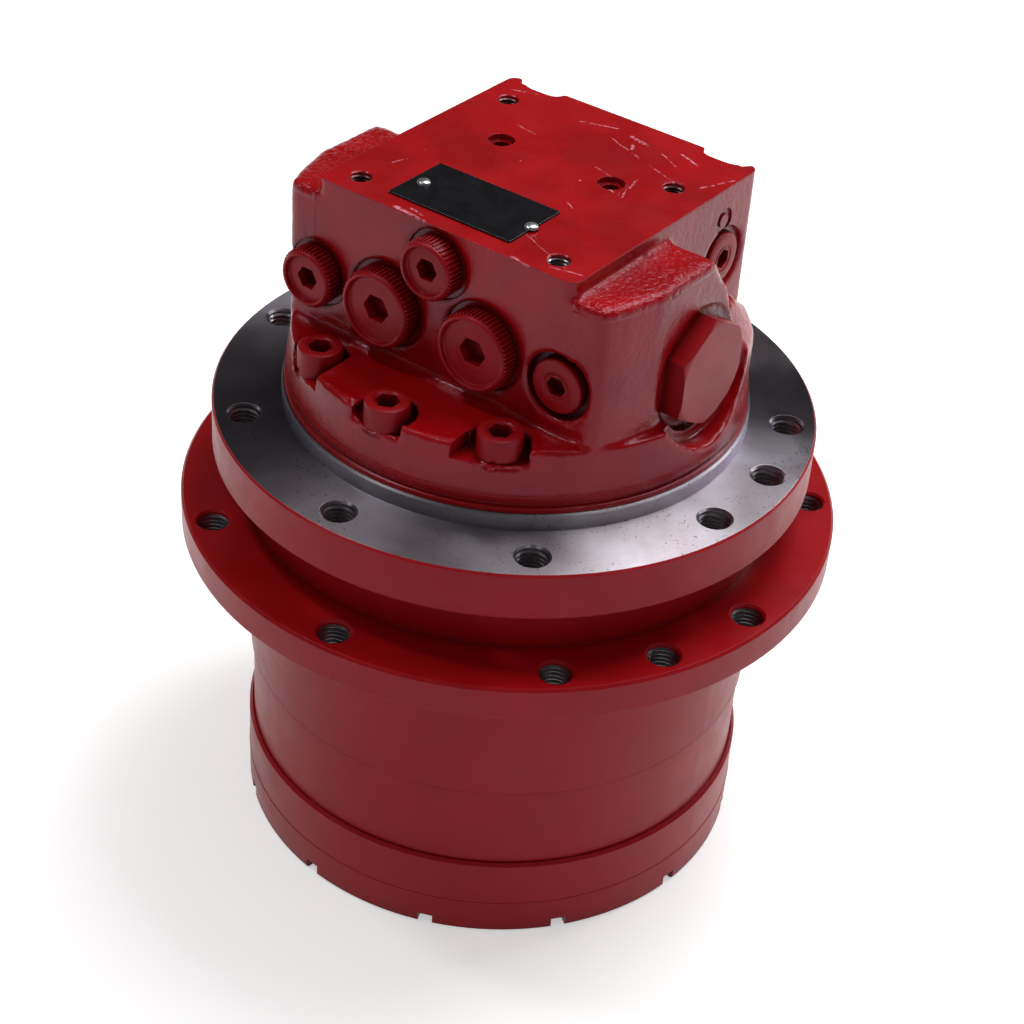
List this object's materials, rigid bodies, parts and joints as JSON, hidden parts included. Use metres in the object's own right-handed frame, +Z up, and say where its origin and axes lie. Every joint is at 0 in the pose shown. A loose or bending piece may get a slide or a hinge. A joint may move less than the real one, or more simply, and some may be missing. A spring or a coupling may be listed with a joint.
{
  "type": "excavator final drive",
  "caption": "Excavator final drive: painted planetary hub with sprocket flange turning on a motor casing with frame flange and valve block.",
  "frame": {"origin": "centre of the end cover's lowest face, on the shaft axis", "axes": "+Z up the shaft from end cover to valve block, -Y the front wall with the plugs, +X the visible hexagon cap"},
  "size_m": [0.258, 0.258, 0.2826],
  "materials": {
    "red_paint": "gloss",
    "gear_steel": "ground",
    "bearing_steel": "polished",
    "spring_steel": "oiled",
    "bronze": "machined",
    "friction_lining": "sintered",
    "rubber": "matt",
    "plate_black": "satin",
    "rivet_aluminium": "satin"
  },
  "bodies": {
    "motor_side": {"motor_casing": "red_paint", "valve_block": "red_paint", "block_screws": "red_paint", "block_o_ring": "rubber", "large_relief_caps": "red_paint", "small_relief_caps": "red_paint", "gauge_plug": "red_paint", "side_plugs": "red_paint", "spool_cap_right": "red_paint", "spool_cap_left": "red_paint", "spool_spring_right": "spring_steel", "spool_spring_left": "spring_steel", "data_plate": "plate_black", "plate_rivets": "rivet_aluminium", "valve_plate": "bronze", "swash_plate": "bronze", "shaft_seal": "rubber", "brake_separator_plates": "bearing_steel", "brake_springs": "spring_steel", "lower_bearing_cone": "bearing_steel", "upper_bearing_cone": "bearing_steel", "bearing_nut": "gear_steel", "stage_2_carrier": "gear_steel", "carrier_screws": "gear_steel", "stage_2_pins": "gear_steel", "casing_seal_ring": "gear_steel", "casing_seal_o_ring": "rubber"},
    "hub_side": {"hub": "red_paint", "ring_gear": "red_paint", "end_cover": "red_paint", "cover_screws": "red_paint", "cover_plugs": "red_paint", "cover_o_ring": "rubber", "lower_bearing_cup": "bearing_steel", "upper_bearing_cup": "bearing_steel", "hub_seal_ring": "gear_steel", "hub_seal_o_ring": "rubber", "thrust_pad": "gear_steel"},
    "lower_rollers": {"lower_roller_set": "bearing_steel"},
    "upper_rollers": {"upper_roller_set": "bearing_steel"},
    "first_carrier": {"stage_1_carrier": "gear_steel", "stage_1_pins": "gear_steel", "stage_2_sun": "gear_steel"},
    "rotating_group": {"motor_shaft": "gear_steel", "cylinder_block": "gear_steel", "pistons": "gear_steel", "retainer_plate": "bronze", "brake_friction_discs": "friction_lining", "stage_1_sun": "gear_steel"},
    "front_needles": {"front_needle_set": "bearing_steel"},
    "rear_needles": {"rear_needle_set": "bearing_steel"},
    "spool": {"counterbalance_spool": "gear_steel"},
    "brake_release": {"brake_piston": "gear_steel"},
    "first_planet_1": {"stage_1_planet_1": "gear_steel"},
    "first_planet_2": {"stage_1_planet_2": "gear_steel"},
    "first_planet_3": {"stage_1_planet_3": "gear_steel"},
    "second_planet_1": {"stage_2_planet_1": "gear_steel"},
    "second_planet_2": {"stage_2_planet_2": "gear_steel"},
    "second_planet_3": {"stage_2_planet_3": "gear_steel"},
    "second_planet_4": {"stage_2_planet_4": "gear_steel"}
  },
  "joints": [
    {"name": "hub_rotation", "type": "hinge", "parent": "motor_side", "child": "hub_side", "pos_m": [0, 0, 0], "axis": [0, 0, 1], "continuous": true},
    {"name": "first_carrier_spin", "type": "hinge", "parent": "motor_side", "child": "first_carrier", "pos_m": [0, 0, 0], "axis": [0, 0, 1], "continuous": true},
    {"name": "shaft_spin", "type": "hinge", "parent": "motor_side", "child": "rotating_group", "pos_m": [0, 0, 0], "axis": [0, 0, 1], "continuous": true},
    {"name": "lower_roller_orbit", "type": "hinge", "parent": "motor_side", "child": "lower_rollers", "pos_m": [0, 0, 0], "axis": [0, 0, 1], "continuous": true},
    {"name": "upper_roller_orbit", "type": "hinge", "parent": "motor_side", "child": "upper_rollers", "pos_m": [0, 0, 0], "axis": [0, 0, 1], "continuous": true},
    {"name": "front_needle_orbit", "type": "hinge", "parent": "motor_side", "child": "front_needles", "pos_m": [0, 0, 0], "axis": [0, 0, 1], "continuous": true},
    {"name": "rear_needle_orbit", "type": "hinge", "parent": "motor_side", "child": "rear_needles", "pos_m": [0, 0, 0], "axis": [0, 0, 1], "continuous": true},
    {"name": "second_planet_1_spin", "type": "hinge", "parent": "motor_side", "child": "second_planet_1", "pos_m": [0.051, 0, 0], "axis": [0, 0, 1], "continuous": true},
    {"name": "second_planet_2_spin", "type": "hinge", "parent": "motor_side", "child": "second_planet_2", "pos_m": [0, 0.051, 0], "axis": [0, 0, 1], "continuous": true},
    {"name": "second_planet_3_spin", "type": "hinge", "parent": "motor_side", "child": "second_planet_3", "pos_m": [-0.051, 0, 0], "axis": [0, 0, 1], "continuous": true},
    {"name": "second_planet_4_spin", "type": "hinge", "parent": "motor_side", "child": "second_planet_4", "pos_m": [0, -0.051, 0], "axis": [0, 0, 1], "continuous": true},
    {"name": "first_planet_1_spin", "type": "hinge", "parent": "first_carrier", "child": "first_planet_1", "pos_m": [0.0495, 0, 0], "axis": [0, 0, 1], "continuous": true},
    {"name": "first_planet_2_spin", "type": "hinge", "parent": "first_carrier", "child": "first_planet_2", "pos_m": [-0.02475, 0.04287, 0], "axis": [0, 0, 1], "continuous": true},
    {"name": "first_planet_3_spin", "type": "hinge", "parent": "first_carrier", "child": "first_planet_3", "pos_m": [-0.02475, -0.04287, 0], "axis": [0, 0, 1], "continuous": true},
    {"name": "spool_slide", "type": "slide", "parent": "motor_side", "child": "spool", "axis": [1, 0, 0], "range_m": [-0.005, 0.005], "stiffness_N_per_m": 9000, "deforming": ["spool_spring_right", "spool_spring_left"]},
    {"name": "brake_piston_lift", "type": "slide", "parent": "motor_side", "child": "brake_release", "axis": [0, 0, 1], "range_m": [0, 0.002], "stiffness_N_per_m": 60000, "springref_m": -0.01, "deforming": ["brake_springs"]}
  ],
  "couplings": [
    {"joint": "first_carrier_spin", "follows": "hub_rotation", "ratio": -3.8571},
    {"joint": "shaft_spin", "follows": "hub_rotation", "ratio": -25.714},
    {"joint": "lower_roller_orbit", "follows": "hub_rotation", "ratio": 0.53013},
    {"joint": "upper_roller_orbit", "follows": "hub_rotation", "ratio": 0.53013},
    {"joint": "front_needle_orbit", "follows": "hub_rotation", "ratio": -11.02},
    {"joint": "rear_needle_orbit", "follows": "hub_rotation", "ratio": -11.02},
    {"joint": "second_planet_1_spin", "follows": "hub_rotation", "ratio": 2.7},
    {"joint": "second_planet_2_spin", "follows": "hub_rotation", "ratio": 2.7},
    {"joint": "second_planet_3_spin", "follows": "hub_rotation", "ratio": 2.7},
    {"joint": "second_planet_4_spin", "follows": "hub_rotation", "ratio": 2.7},
    {"joint": "first_planet_1_spin", "follows": "hub_rotation", "ratio": 12.49},
    {"joint": "first_planet_2_spin", "follows": "hub_rotation", "ratio": 12.49},
    {"joint": "first_planet_3_spin", "follows": "hub_rotation", "ratio": 12.49}
  ]
}
